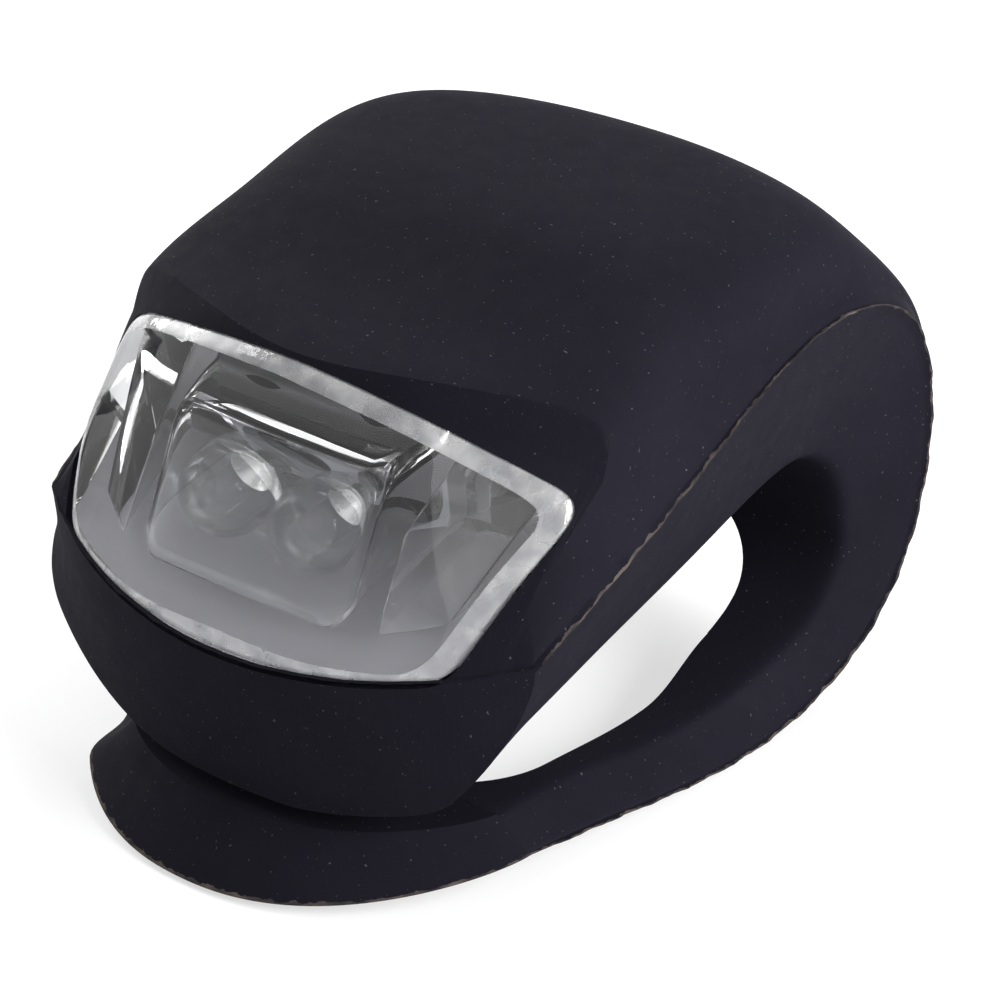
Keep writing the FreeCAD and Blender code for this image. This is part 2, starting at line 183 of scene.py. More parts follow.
# %% The loop at sixteen places
# Parting line (depth, height, half width), inner edge (the same), shoulder (rise, half width), crown
# height, bulge of the under side, and the power of the crown's outline, where 2 is an ellipse.
LOOP = np.array([
    (0.0, 13.0, 16.6, 0.5, 3.6, 12.5, 0.5, 13.4, 8.5, 0.9, 3.2),
    (6.0, 15.7, 17.3, 5.4, 7.3, 12.9, 1.6, 14.9, 9.55, 0.9, 3.2),
    (11.0, 17.8, 17.5, 9.4, 8.4, 13.0, 4.6, 16.3, 5.9, 0.8, 3.2),
    (19.0, 21.2, 17.5, 17.5, 10.4, 13.2, 2.7, 16.5, 7.0, 0.6, 3.2),
    (25.0, 24.0, 17.5, 24.0, 13.1, 14.2, 1.4, 16.7, 6.2, 0.4, 3.5),
    (31.0, 25.5, 17.5, 29.8, 15.5, 15.0, 0.9, 16.8, 5.4, 0.2, 3.4),
    (36.0, 24.9, 17.5, 33.6, 15.2, 15.0, 0.8, 16.8, 4.9, 0.1, 2.1),
    (39.4, 22.8, 17.5, 35.6, 13.6, 15.0, 0.8, 16.8, 3.2, 0.05, 2.0),
    (41.6, 18.4, 17.5, 36.6, 11.6, 15.0, 0.8, 16.8, 3.3, 0.05, 2.2),
    (41.8, 13.2, 17.5, 36.9, 9.9, 15.0, 0.8, 16.8, 2.5, 0.05, 2.2),
    (40.4, 8.4, 17.5, 36.7, 8.2, 15.0, 0.8, 16.7, 1.7, 0.05, 2.2),
    (36.5, 3.9, 17.4, 34.6, 5.6, 15.0, 0.8, 16.5, 0.8, 0.05, 2.2),
    (30.8, 1.0, 16.8, 30.0, 3.9, 14.9, 0.5, 15.6, 0.4, 0.05, 2.2),
    (22.0, 0.6, 16.2, 22.0, 2.9, 13.9, 0.7, 14.7, 0.2, 0.05, 2.2),
    (13.8, 1.7, 15.6, 13.8, 3.7, 13.0, 1.8, 12.9, 0.2, 0.02, 2.2),
    (8.1, 2.4, 15.2, 8.1, 4.1, 13.0, 2.5, 12.0, 0.2, 0.0, 2.2)])
SPLIT_ROW = 7                      # the jacket ends here, and the strap starts
print("the loop is described at", len(LOOP), "places")


def waver(t, seed, scale):
    """A sum of four sines of unrelated wavelengths, for a line that wanders as moulded rubber does."""
    total = sum(np.sin(t * scale * k + seed * (3.1 + k)) / k for k in (1.0, 2.3, 4.1, 7.7))
    return total / 2.0


def loop_grid(first, last, count, crown=64, wall=14, under=26, floor=22):
    """Rows go along the loop and columns round its section, from the middle of the crown and back.
    A section is the crown, x = w sin^(2/p) and height = rise + c cos^(2/p), then the wall, the under
    side and the floor. Averaging rounds all its corners but the one at the parting line."""
    knots = np.r_[0, np.cumsum(np.hypot(np.diff(LOOP[:, 0]), np.diff(LOOP[:, 1])))]
    along = np.linspace(knots[first], knots[last], count)
    rows = through(knots, LOOP, along).T[:, :, None]
    rim_y, rim_z, rim_w, in_y, in_z, in_w, rise, shoulder, lift, bulge, power = rows
    lift = np.maximum(lift, 0.01)
    length = np.hypot(rim_y - in_y, rim_z - in_z)
    turn = np.linspace(0, math.pi / 2, crown)[None, :]
    crown_x = shoulder * np.sin(turn) ** (2 / power)
    crown_h = rise + lift * np.cos(turn) ** (2 / power)
    step = np.linspace(0, 1, wall)[None, 1:]
    wall_x, wall_h = shoulder + (rim_w - shoulder) * step, rise * (1 - step)
    step = np.linspace(0, 1, under)[None, 1:]
    slant = np.hypot(length, rim_w - in_w)
    swell = bulge * 4 * step * (1 - step)
    under_x = rim_w + (in_w - rim_w) * step + swell * length / slant
    under_h = -length * step - swell * (rim_w - in_w) / slant
    step = np.linspace(0, 1, floor)[None, 1:]
    floor_x, floor_h = in_w * (1 - step), -length + 0 * step
    half_x = np.concatenate([crown_x, wall_x, under_x, floor_x], axis=1)
    half_h = np.concatenate([crown_h, wall_h, under_h, floor_h], axis=1)
    ring_x = np.concatenate([half_x, -half_x[:, -2:0:-1]], axis=1)
    ring_h = np.concatenate([half_h, half_h[:, -2:0:-1]], axis=1)
    rim_column = crown + wall - 2
    columns = ring_x.shape[1]
    keep = np.zeros(columns)
    keep[[rim_column, columns - rim_column]] = 1.0
    round_x, round_h = ring_x, ring_h
    for _ in range(5):
        round_x = (np.roll(round_x, 1, 1) + 2 * round_x + np.roll(round_x, -1, 1)) / 4
        round_h = (np.roll(round_h, 1, 1) + 2 * round_h + np.roll(round_h, -1, 1)) / 4
    ring_x = keep * ring_x + (1 - keep) * round_x
    ring_h = keep * ring_h + (1 - keep) * round_h
    flash = (0.16 + 0.09 * waver(along, 1.7, 1.9)) * smooth((knots[-1] - along) / 4)
    flash = flash[:, None]
    ring_x = ring_x + np.sign(ring_x) * keep * flash
    out_y, out_z = (rim_y - in_y) / length, (rim_z - in_z) / length
    points = place(ring_x, rim_y + ring_h * out_y, rim_z + ring_h * out_z)
    run = np.hypot(np.diff(ring_x, axis=1), np.diff(ring_h, axis=1))
    run = np.concatenate([np.zeros((count, 1)), np.cumsum(run, axis=1)], axis=1)
    from_rim = run - run[:, rim_column][:, None]
    mirrored = np.where(np.arange(columns) <= columns // 2, from_rim, np.roll(from_rim[:, ::-1], 1, axis=1))
    uv = np.stack([np.broadcast_to(along[:, None], ring_x.shape) / 100, 0.5 + mirrored / 100], axis=-1)
    return points, uv


# %% [markdown]
# ## What is taken out of the jacket
# The face of the light slopes back and bulges forwards. The faces of lens, nose and chin lie between five
# arcs seen from above, and everything in front of them is cut away. Behind the face the module's pocket is
# cut, with the arched outline of lens and module. A cutter that is one surface keeps the face smooth,
# where a cut made of flat blocks would leave steps.

# %% The shape in front of the face
# Each arc is its depth in the middle, how far its ends lie behind that, and the level and slope of the
# plane that it lies in.
ARCS = np.array([(7.0, 6.9, 31.3, -0.68), (0.4, 6.85, 12.7, 0.495),
                 (0.7, 6.8, 6.4, 0.69), (1.2, 5.9, 3.1, 0.69), (1.9, 7.7, -3.0, 0.69)])
HALF_CHORD = 19.0
PROUD = 0.45                       # how far the lens stands out of the rubber round it


def face_rows(x, arcs=ARCS):
    """For each arc, depth = front + R - sqrt(R^2 - x^2) and height = level + slope * depth."""
    front, sag, level, slope = arcs.T[:, :, None]
    radius = (HALF_CHORD ** 2 + sag ** 2) / (2 * sag)
    depth = front + radius - np.sqrt(radius ** 2 - x[None, :] ** 2)
    return depth, level + slope * depth


def rolled_edge(top_arc, radius=4.5, steep=64.0, flat=20.0, count=12):
    """Arcs that turn from the steep face into the crown, like a round of the given radius. They level out
    sideways as they rise, so that the shoulders are left whole."""
    front, sag, level, slope = top_arc
    turn = np.radians(np.linspace(steep, flat, count))
    run = front + radius * (np.sin(turn[0]) - np.sin(turn))
    lift = level + slope * front + radius * (np.cos(turn) - np.cos(turn[0]))
    far = 30.0
    run, lift = np.r_[run, run[-1] + far], np.r_[lift, lift[-1] + far * math.tan(turn[-1])]
    side = slope * (1 - 0.85 * np.linspace(0, 1, count + 1) ** 1.5)
    return np.stack([run, np.full(count + 1, sag), lift - side * run, side], axis=1)[::-1]


def between_arcs(arcs, count=18):
    """More arcs on a smooth curve through the given ones, spaced by their height in the middle."""
    front, sag, level, slope = arcs.T
    drop = -(level + slope * front)
    at = np.linspace(drop[0], drop[-1], count)
    front, sag, slope = through(drop, arcs[:, [0, 1, 3]], at).T
    return np.stack([front, sag, -at - slope * front, slope], axis=1)


CUT_HALF = 22.0                    # the cutter reaches past the parting line at both sides


def front_cutter():
    """All that lies up to 40 mm in front of the arcs, the edge under the crown rolled over."""
    x = np.linspace(-CUT_HALF, CUT_HALF, 140)
    top = ARCS[0] + np.array([PROUD, 0, -ARCS[0, 3] * PROUD, 0])
    depth, height = face_rows(x, np.concatenate([rolled_edge(top), between_arcs(ARCS[1:])]))
    near = place(x[None, :], depth, height)
    far = near - np.array([0, 40 * MM, 0])
    ring = np.concatenate([near, far[::-1]], axis=0)
    return grid_object("front_cutter", ring.transpose(1, 0, 2))


# %% [markdown]
# ## Outlines and prisms
# Lens and module have an arched outline, like a loaf of bread seen from its end. It is drawn once, its
# corners are rounded by smoothing, and the same outline is carried along for the lens and for the pocket.

# %% Outlines and prisms
def smooth(t):
    """0 below 0, 1 above 1, and 3 t^2 - 2 t^3 between."""
    t = np.clip(t, 0, 1)
    return t * t * (3 - 2 * t)


def arched(low, high, bottom, side_top, crown_top, corner, count=160):
    """A closed outline (x, over): flat floor, leaning sides, arched roof, corners rounded by smoothing."""
    side = np.linspace(0, 1, 200)
    roof = np.linspace(1, -1, 300)
    radius = (high ** 2 + (crown_top - side_top) ** 2) / (2 * (crown_top - side_top))
    x = np.concatenate([np.linspace(-low, low, 260), low + (high - low) * side, high * roof,
                        -(high + (low - high) * side)])
    over = np.concatenate([np.full(260, bottom), bottom + (side_top - bottom) * side,
                           crown_top - radius + np.sqrt(radius ** 2 - (high * roof) ** 2),
                           side_top + (bottom - side_top) * side])
    run = np.r_[0, np.cumsum(np.hypot(np.diff(x), np.diff(over)))]
    total = run[-1]
    even = np.linspace(0, total, 1200, endpoint=False)
    x, over = np.interp(even, run, x), np.interp(even, run, over)
    reach = corner * 0.62 / (total / 1200)
    kernel_at = np.fft.fftfreq(1200) * 1200
    kernel = np.exp(-0.5 * (kernel_at / reach) ** 2)
    kernel = np.fft.fft(kernel / kernel.sum())
    x = np.real(np.fft.ifft(np.fft.fft(x) * kernel))
    over = np.real(np.fft.ifft(np.fft.fft(over) * kernel))
    pick = np.arange(count) * 1200 // count
    return x[pick], over[pick]


def prism(name, outline, start, end, last=None):
    """The outline carried along the module's direction, towards the last outline if there is one."""
    rows = np.stack([module_place(x, np.full_like(x, along), over)
                     for (x, over), along in ((outline, start), (last or outline, end))])
    return grid_object(name, rows)


def outward(x, over):
    """Unit normals of a closed outline that runs anticlockwise."""
    run_x, run_over = np.roll(x, -1) - np.roll(x, 1), np.roll(over, -1) - np.roll(over, 1)
    length = np.hypot(run_x, run_over)
    return run_over / length, -run_x / length


def lens_outline(grow=0.0, count=240):
    """The arched outline; the real lens is fuller at its left side and drawn in at its top left corner."""
    x, over = arched(13.4, 16.05, 3.7, 10.85, 15.15, 1.3, count)
    fuller = np.exp(-((over - 6.6) / 2.3) ** 2) * smooth((-x - 11) / 3)
    drawn = smooth((over - 9.0) / 2.5) * smooth((-x - 12.5) / 3)
    drop = np.clip((x + 1) / 15, 0, 1.1) ** 1.4 * smooth((over - 6.0) / 5.0)
    right = smooth((x - 11) / 3) * smooth((over - 4.0) / 4.0)
    low = (1 - smooth((over - 3.6) / 2.0)) * np.maximum(0, 1 - (x / 14.0) ** 2)
    x, over = x - 1.05 * fuller + 0.35 * drawn + 0.1 * right, over - 0.85 * drop - 0.95 * low
    out_x, out_over = outward(x, over)
    return x + grow * out_x, over + grow * out_over


def rounded_rectangle(half, low, high, corner, count=24):
    """Four quarter circles of the corner radius, joined by straight runs."""
    quarter = np.linspace(0, math.pi / 2, count)
    turn = np.concatenate([quarter + k * math.pi / 2 for k in range(4)])
    centre_x = np.repeat([half - corner, corner - half, corner - half, half - corner], count)
    centre_z = np.repeat([high - corner, high - corner, low + corner, low + corner], count)
    return centre_x + corner * np.cos(turn), centre_z + corner * np.sin(turn)


def box_object(name, low, high):
    """A plain block between two corners given in depth and height, used only to cut with."""
    x = np.array([low[0], high[0], high[0], low[0]])
    depth = np.array([low[1], low[1], high[1], high[1]])
    rows = np.stack([place(x, depth, np.full(4, height)) for height in (low[2], high[2])])
    return grid_object(name, rows)


# %% [markdown]
# ## The jacket
# The head is the first half of the loop. It is a full, domed body with a rounded shoulder at each side,
# and its under side is the saddle that lies on the handlebar. It could be sculpted by hand, but a surface
# worked out from a table of measures can be set right one number at a time.

# %% How the soft head sits
RIM_DRAWN_IN, CHIN_FULLER = 1.3, 4.7


def settle(points):
    """The real rubber isn't even: at the front left its rim is drawn in and its chin stands fuller."""
    x, depth, height = points[..., 0] / MM, points[..., 1] / MM + DEPTH_MIDDLE, points[..., 2] / MM
    front = smooth((13 - depth) / 9)
    rim = RIM_DRAWN_IN * smooth((-x - 14.3) / 3) * smooth((height - 10.5) / 3.5)
    chin = CHIN_FULLER * smooth((-x - 7) / 6) * (1 - smooth((height - 8.3) / 5.2))
    moved = points.copy()
    moved[..., 0] += front * (rim - chin) * MM
    return moved


# %% Jacket skin
points, uv = loop_grid(0, SPLIT_ROW, 170)
jacket = grid_object("jacket_skin", settle(points), uv)
combine(jacket, front_cutter(), "DIFFERENCE")
combine(jacket, box_object("chin_floor", (-30, -20, -10), (30, 30, 4.45)), "DIFFERENCE")
combine(jacket, prism("lens_pocket", lens_outline(0.08), -25.0, 7.1), "DIFFERENCE")
module_room = arched(13.05, 13.05, 3.35, 11.6, 14.25, 2.0)
combine(jacket, prism("module_pocket", module_room, 6.9, 25.5), "DIFFERENCE")
combine(jacket, prism("module_pocket_rear", module_room, 25.4, 30.4,
                      arched(13.05, 13.05, 3.35, 9.4, 12.0, 2.0)), "DIFFERENCE")
shade(jacket)
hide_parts("jacket")
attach(jacket, "jacket")
print("jacket faces", len(jacket.data.polygons))

# %% The hook behind the chin
hook_depth = np.array([8.3, 9.4, 11.4, 13.4])
hook_height = np.array([11.0, 1.6, 1.2, 11.0])
rows = np.stack([place(np.full(4, x), hook_depth, hook_height) for x in (-8.0, 8.0)])
hook = grid_object("chin_hook", rows)
bevel = hook.modifiers.new("round", "BEVEL")
bevel.width = 0.5 * MM
bevel.segments = 3
shade(hook)
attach(hook, "jacket")
print("the hook reaches down to", hook_height.min(), "mm")

# %% [markdown]
# ## The strap
# The second half of the loop runs down the rear, forwards under the handlebar, and ends in a rounded
# tongue. A large rounded opening runs through its bottom and up its rear. The opening is cut with two
# prisms, one straight down and one straight back, because the strap turns from floor to wall between them.

# %% Tongue
def tongue_outline(half, reach, level, slope, count=81):
    """depth = start - reach (1 - |s|^2.2)^0.8 with x = half s, closed by a straight line at the start."""
    share = np.sin(np.linspace(-math.pi / 2, math.pi / 2, count))
    start = LOOP[-1, 0]
    depth = start - reach * np.maximum(0, 1 - np.abs(share) ** 2.2) ** 0.8
    x = half * share
    back_x = np.linspace(half, -half, 20)[1:-1]
    x = np.concatenate([x, back_x])
    depth = np.concatenate([depth, np.full(18, start + 0.02)])
    return place(x, depth, level + slope * (depth - start))


# The tongue is three outlines over each other: under side, parting line and top.
row = LOOP[-1]
outlines = [tongue_outline(row[7], 9.5, 0.0, 0.0), tongue_outline(row[2], 10.7, row[1], 0.2),
            tongue_outline(13.0, 7.4, row[4], 0.09)]
low = outlines[0] + (outlines[1] - outlines[0]) * np.linspace(0, 1, 6)[:, None, None]
high = outlines[1] + (outlines[2] - outlines[1]) * np.linspace(0, 1, 8)[1:, None, None]
tongue_points = np.concatenate([low, high])
tongue_uv = np.zeros(tongue_points.shape[:2] + (2,))
tongue_uv[..., 1] = 0.5 + (np.arange(13) - 5)[:, None] * 0.0045
tongue_uv[..., 0] = np.linspace(0, 0.4, tongue_points.shape[1])[None, :]


WAIST = 2.3


def waist(points):
    """The left edge of the strap is drawn in just behind the tongue."""
    x, depth = points[..., 0] / MM, points[..., 1] / MM + DEPTH_MIDDLE
    moved = points.copy()
    drawn = smooth((-x - 8) / 4) * smooth((depth - 1.8) / 4) * (1 - smooth((depth - 8) / 7))
    moved[..., 0] += WAIST * drawn * MM
    return moved


tongue = grid_object("tongue", waist(tongue_points), tongue_uv)

# %% Strap skin
points, uv = loop_grid(SPLIT_ROW, len(LOOP) - 1, 190)
strap = grid_object("strap_skin", waist(points), uv)
combine(strap, tongue, "UNION")
combine(strap, box_object("floor_cut", (-40, -30, -10), (40, 60, 0.0)), "DIFFERENCE")


NARROW_FROM, NARROW_OVER = 23.0, 7.6


def slot_plan(front, rear, half_front, half_rear, corner):
    """The opening from above: round corners in front, and a little narrower behind."""
    turn = np.linspace(-math.pi / 2, 0, 24)
    side_depth = np.linspace(front + corner, rear, 40)
    side_x = half_front + (half_rear - half_front) * smooth((side_depth - NARROW_FROM) / NARROW_OVER)
    x = np.r_[half_front - corner + corner * np.cos(turn), side_x[1:]]
    depth = np.r_[front + corner + corner * np.sin(turn), side_depth[1:]]
    return np.r_[x, -x[::-1]], np.r_[depth, depth[::-1]]


x, depth = slot_plan(7.6, 30.6, 11.5, 10.46, 6.5)
rows = np.stack([place(x, depth, np.full_like(x, height)) for height in (-2.0, 4.75)])
combine(strap, grid_object("slot_down", rows), "DIFFERENCE")
x, height = rounded_rectangle(10.68, -20.0, 9.6, 7.5)
rows = np.stack([place(x, np.full_like(x, depth), height) for depth in (30.03, 53.0)])
combine(strap, grid_object("slot_back", rows), "DIFFERENCE")
shade(strap)
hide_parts("strap")
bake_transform(strap)
print("strap faces", len(strap.data.polygons))

# %% [markdown]
# ## The lens
# The lens is one thick clear moulding. It is hollow behind its middle window, where the lamps shine out,
# and has a wedge-shaped pocket at each side. Refraction in the thick walls gives the broken lights and
# darks of the real one, so it is a true solid with cavities. Its rim is frosted, and its under side is
# milky.

# %% Lens body
def face_along(x, over):
    """Where a line along the module's direction meets the face: two straight lines crossed at each x."""
    depth, height = face_rows(x, ARCS[:2])
    top_y, low_y, top_z, low_z = depth[0], depth[1], height[0], height[1]
    start_y = MODULE_DEPTH - over * math.sin(LEAN)
    start_z = MODULE_HEIGHT + over * math.cos(LEAN)
    run_y, run_z = top_y - low_y, top_z - low_z
    cross = math.cos(LEAN) * run_z - math.sin(LEAN) * run_y
    return ((low_y - start_y) * run_z - (low_z - start_z) * run_y) / cross


CLEAR, FROSTED, MILKY = 0, 1, 2
RING_MIDDLE = 8.6                  # the rings of the face close in on this height over the base line
LENS_REAR = 7.0
FACES_DOWN = -0.8


def lens_body():
    """Rings from the middle of the face out to its edge, over the rounded rim and back along the sides.
    The rim is frosted, and so is the under side, which passes light on like a milky sheet."""
    x, over = lens_outline()
    out_x, out_over = outward(x, over)
    from_middle = over - RING_MIDDLE
    reach = np.hypot(x, from_middle)
    rim = 0.4 + 0.55 * np.maximum(out_x, 0) + 0.6 * np.maximum(-out_over, 0)

    def inset(width):
        keep = 1 - width * rim / reach
        return x * keep, RING_MIDDLE + from_middle * keep

    rings = []
    inner_x, inner_over = inset(1.15)
    for share in np.r_[np.linspace(0.03, 0.93, 14), 0.965]:
        ring_x, ring_over = inner_x * share, RING_MIDDLE + (inner_over - RING_MIDDLE) * share
        rings.append(module_place(ring_x, face_along(ring_x, ring_over), ring_over))
    first_frosted = len(rings)
    for width, back in ((1.15, 0.0), (0.85, 0.04), (0.5, 0.14), (0.22, 0.3), (0.06, 0.48), (0.0, 0.7)):
        ring_x, ring_over = inset(width)
        edge = face_along(ring_x, ring_over) + back
        rings.append(module_place(ring_x, edge, ring_over))
    rings.append(module_place(x, edge + 0.5, over))
    first_side = len(rings) - 1
    for share in (0.5, 1.0):
        rings.append(module_place(x, edge + 0.5 + (LENS_REAR - edge - 0.5) * share, over))
    body = grid_object("lens_body", np.stack(rings))
    for name in ("clear_acrylic", "frosted_edge", "milky_underside"):
        body.data.materials.append(bpy.data.materials.new(name))
    kind = np.full((len(rings) - 1, len(x)), CLEAR)
    kind[first_frosted:first_side] = FROSTED
    kind[first_side:, out_over < FACES_DOWN] = MILKY
    body.data.polygons.foreach_set("material_index", np.r_[kind.ravel(), CLEAR, CLEAR].astype(np.int32))
    return body


lens = lens_body()
print("lens faces", len(lens.data.polygons))


# %% Lens cavities
def cavity(name, corners_front, corners_back, rounding):
    """A block between four front and four back corners, each (x, along, over), with rounded edges."""
    front = np.array(corners_front, float)
    back = np.array(corners_back, float)
    rows = np.stack([module_place(c[:, 0], c[:, 1], c[:, 2]) for c in (front, back)])
    block = grid_object(name, rows)
    bevel = block.modifiers.new("round", "BEVEL")
    bevel.width = rounding * MM
    bevel.segments = 5
    bevel.limit_method = "NONE"
    graph = bpy.context.evaluated_depsgraph_get()
    block.data = bpy.data.meshes.new_from_object(block.evaluated_get(graph))
    block.modifiers.clear()
    return block


def behind_face(x, over, wall):
    """A corner that lies the wall's thickness behind the face."""
    return x, float(face_along(np.array([x]), np.array([over]))[0]) + wall, over


WALL = 0.8                         # of clear plastic between the face and the hollow
SHIFT = 0.35                       # the hollow leans to the left as it rises
CAVITY_REAR = 9.0                  # past the lens's rear, so that the hollow is open there


def chamber(half, low, high, corner):
    """The hollow behind the window: a rounded front that follows the face, and a roof that bends down."""
    x, over = rounded_rectangle(half, low, high, corner)
    centre_over = (low + high) / 2
    rings = []
    for inset, back in ((0.9, 0.0), (0.45, 0.05), (0.2, 0.2), (0.05, 0.5), (0.0, 0.9)):
        ring_x = x * (1 - inset / half)
        ring_over = centre_over + (over - centre_over) * (1 - 2 * inset / (high - low))
        lean = -SHIFT * (ring_over - low) / (high - low)
        ring_x = ring_x + lean
        rings.append(module_place(ring_x, face_along(ring_x, ring_over) + WALL + back, ring_over))
    start = face_along(x - SHIFT, over) + WALL + 0.9
    for share in np.linspace(0.12, 1.0, 10):
        along = start + (CAVITY_REAR - start) * share
        roof = smooth((over - centre_over) / (high - centre_over)) * (0.5 * share + 1.1 * share ** 2)
        rings.append(module_place(x - SHIFT, along, over - roof))
    return grid_object("window", np.stack(rings))


combine(lens, chamber(7.2, 4.6, 11.2, 1.3), "DIFFERENCE")
for side in (-1, 1):
    pocket = cavity("pocket", [behind_face(side * 8.7, 4.6, 1.2), behind_face(side * 11.6, 4.7, 2.6),
                               behind_face(side * 13.4, 9.2, 4.2), behind_face(side * 8.5, 8.9, 1.2)],
                    [(side * 8.9, CAVITY_REAR, 4.6), (side * 12.2, CAVITY_REAR, 4.7),
                     (side * 13.6, CAVITY_REAR, 10.6), (side * 8.7, CAVITY_REAR, 12.0)], 0.25)
    combine(lens, pocket, "DIFFERENCE")
shade(lens, 30)
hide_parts("lens")
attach(lens, "module")
print("lens faces with its cavities", len(lens.data.polygons))

# %% [markdown]
# ## The lamps
# Each lamp is a bullet of clear resin with a flange, and a small metal cup with the light chip inside.
# The round end magnifies the cup. The thick window bends the view, so both lamps stand a little to the
# left of the middle and lower, which puts them where they are seen in the real one.

# %% Lamps
def turned(name, x, over, profile, count=48):
    """A round piece about a line in the module's direction; the profile gives (along, radius) in order."""
    turn = np.linspace(0, 2 * math.pi, count, endpoint=False)[None, :]
    along, radius = np.array(profile, float).T[:, :, None]
    rows = module_place(x + radius * np.cos(turn), along + 0 * turn, over + radius * np.sin(turn))
    return grid_object(name, rows)


BULB_RADIUS, FLANGE_RADIUS, BULB_CENTRE = 2.5, 2.9, 0.2
LAMP_SIDE, LAMP_SHIFT, LAMP_OVER = 3.2, 0.9, 6.9
angle = np.linspace(0.04, math.pi / 2, 14)
bulb = [(BULB_CENTRE - BULB_RADIUS * math.cos(a), BULB_RADIUS * math.sin(a)) for a in angle]
bulb += [(3.0, BULB_RADIUS), (6.8, BULB_RADIUS), (6.82, FLANGE_RADIUS), (7.8, FLANGE_RADIUS)]
cup = [(4.2, 0.9), (2.4, 1.35), (2.35, 1.25), (3.4, 0.6)]
lamps = []
for side, name in ((-1, "left"), (1, "right")):
    x, over = side * LAMP_SIDE - LAMP_SHIFT, LAMP_OVER
    resin_body = turned("lamp_" + name, x, over, bulb)
    metal_cup = turned("cup_" + name, x, over, cup)
    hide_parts("led_" + name + "_dome")
    for thing in (resin_body, metal_cup):
        shade(thing)
        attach(thing, "module")
    lamps.append((resin_body, metal_cup))
print("lamps", len(lamps), "of radius", BULB_RADIUS, "mm")

# %% [markdown]
# ## The flash under the lens
# Where the two halves of the mould met, a thin wavy edge of rubber is left. It runs round the nose, just
# under the lens, as a ribbon of small diamond section.

# %% Nose flash
def ribbon(name, line, out, up, width, height):
    """A diamond section carried along a line: four corners at plus and minus width and height."""
    rows = np.stack([line + out * width[:, None], line + up * height[:, None],
                     line - out * 0.2 * MM, line - up * height[:, None]], axis=1)
    return grid_object(name, rows)


x = np.linspace(-17.2, 17.2, 600)
depth, height = face_rows(x, ARCS[1:2])
line = settle(place(x, depth[0], height[0] + 0.02 * waver(x, 0.3, 1.2)))
slope = np.gradient(depth[0], x)
out = np.stack([slope, -np.ones_like(x), np.zeros_like(x)], axis=1)
out /= np.linalg.norm(out, axis=1)[:, None]
width = (0.10 + 0.07 * waver(x, 2.1, 1.7) + 0.04 * waver(x, 5.0, 6.1)) * MM
thick = (0.07 + 0.02 * waver(x, 1.3, 3.0)) * MM
nose_flash = ribbon("nose_flash", line, out, np.array([0, 0, 1.0]), np.maximum(width, 0.02 * MM), thick)
shade(nose_flash, 60)
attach(nose_flash, "jacket")
print("flash width in mm, from", (width / MM).min().round(3), "to", (width / MM).max().round(3))

# %% [markdown]
# ## Finishes
# All finishes are made of nodes and read Object coordinates in metres, so a pattern of scale 1000 has
# features of about a millimetre. A number that is the same everywhere is set on the shader itself.

# %% Material helpers
def finish(name, colour, roughness, **sockets):
    """A Principled material with its fixed numbers set on the shader's own sockets."""
    material = bpy.data.materials.get(name) or bpy.data.materials.new(name)
    material.use_nodes = True
    shader = material.node_tree.nodes["Principled BSDF"]
    shader.inputs["Base Color"].default_value = (*colour, 1)
    shader.inputs["Roughness"].default_value = roughness
    for socket, value in sockets.items():
        shader.inputs[socket.replace("_", " ")].default_value = value
    return material, shader


def add(material, kind, **settings):
    """A new node; each setting is a property of the node, or else one of its inputs."""
    node = material.node_tree.nodes.new(kind)
    for key, value in settings.items():
        if hasattr(node, key):
            setattr(node, key, value)
        else:
            node.inputs[key.replace("_", " ").title()].default_value = value
    return node


def wire(material, source, target):
    """Joins an output to an input, in place of what was joined there before."""
    material.node_tree.links.new(source, target)


def noise(material, scale, detail=3.0, roughness=0.5):
    """Noise in Object coordinates; scale is in cycles for each metre."""
    place_node = add(material, "ShaderNodeTexCoord")
    texture = add(material, "ShaderNodeTexNoise", scale=scale, detail=detail, roughness=roughness)
    wire(material, place_node.outputs["Object"], texture.inputs["Vector"])
    return texture.outputs["Fac"]


def band(material, value, low, high, low_value=0.0, high_value=1.0):
    """Maps low..high to low_value..high_value and holds the ends."""
    node = add(material, "ShaderNodeMapRange")
    node.inputs["From Min"].default_value = low
    node.inputs["From Max"].default_value = high
    node.inputs["To Min"].default_value = low_value
    node.inputs["To Max"].default_value = high_value
    wire(material, value, node.inputs["Value"])
    return node.outputs["Result"]


def mix_colour(material, share, first, second):
    """first where share is 0 and second where it is 1; each is a colour or a socket."""
    node = add(material, "ShaderNodeMix")
    node.data_type = "RGBA"
    wire(material, share, node.inputs["Factor"])
    for value, socket in ((first, node.inputs[6]), (second, node.inputs[7])):
        if isinstance(value, tuple):
            socket.default_value = (*value, 1)
        else:
            wire(material, value, socket)
    return node.outputs[2]


def bump(material, shader, value, strength, distance):
    """Tilts the shading by a height that varies with the value, up to the distance in metres."""
    node = add(material, "ShaderNodeBump")
    node.inputs["Strength"].default_value = strength
    node.inputs["Distance"].default_value = distance
    wire(material, value, node.inputs["Height"])
    wire(material, node.outputs["Normal"], shader.inputs["Normal"])
    return node


def math_node(material, operation, first, second):
    """One sum on two numbers or outputs."""
    node = add(material, "ShaderNodeMath")
    node.operation = operation
    for value, socket in ((first, node.inputs[0]), (second, node.inputs[1])):
        if isinstance(value, (int, float)):
            socket.default_value = value
        else:
            wire(material, value, socket)
    return node.outputs[0]


# %% [markdown]
# ## Silicone
# Silicone rubber is matt and soaks up light, and it draws dust. The parting line is drawn by the surface's
# own UV map, because it has to follow the loop, and the dust and the grain come from noise in space. The
# flash under the lens and the hook have the same rubber without the line.

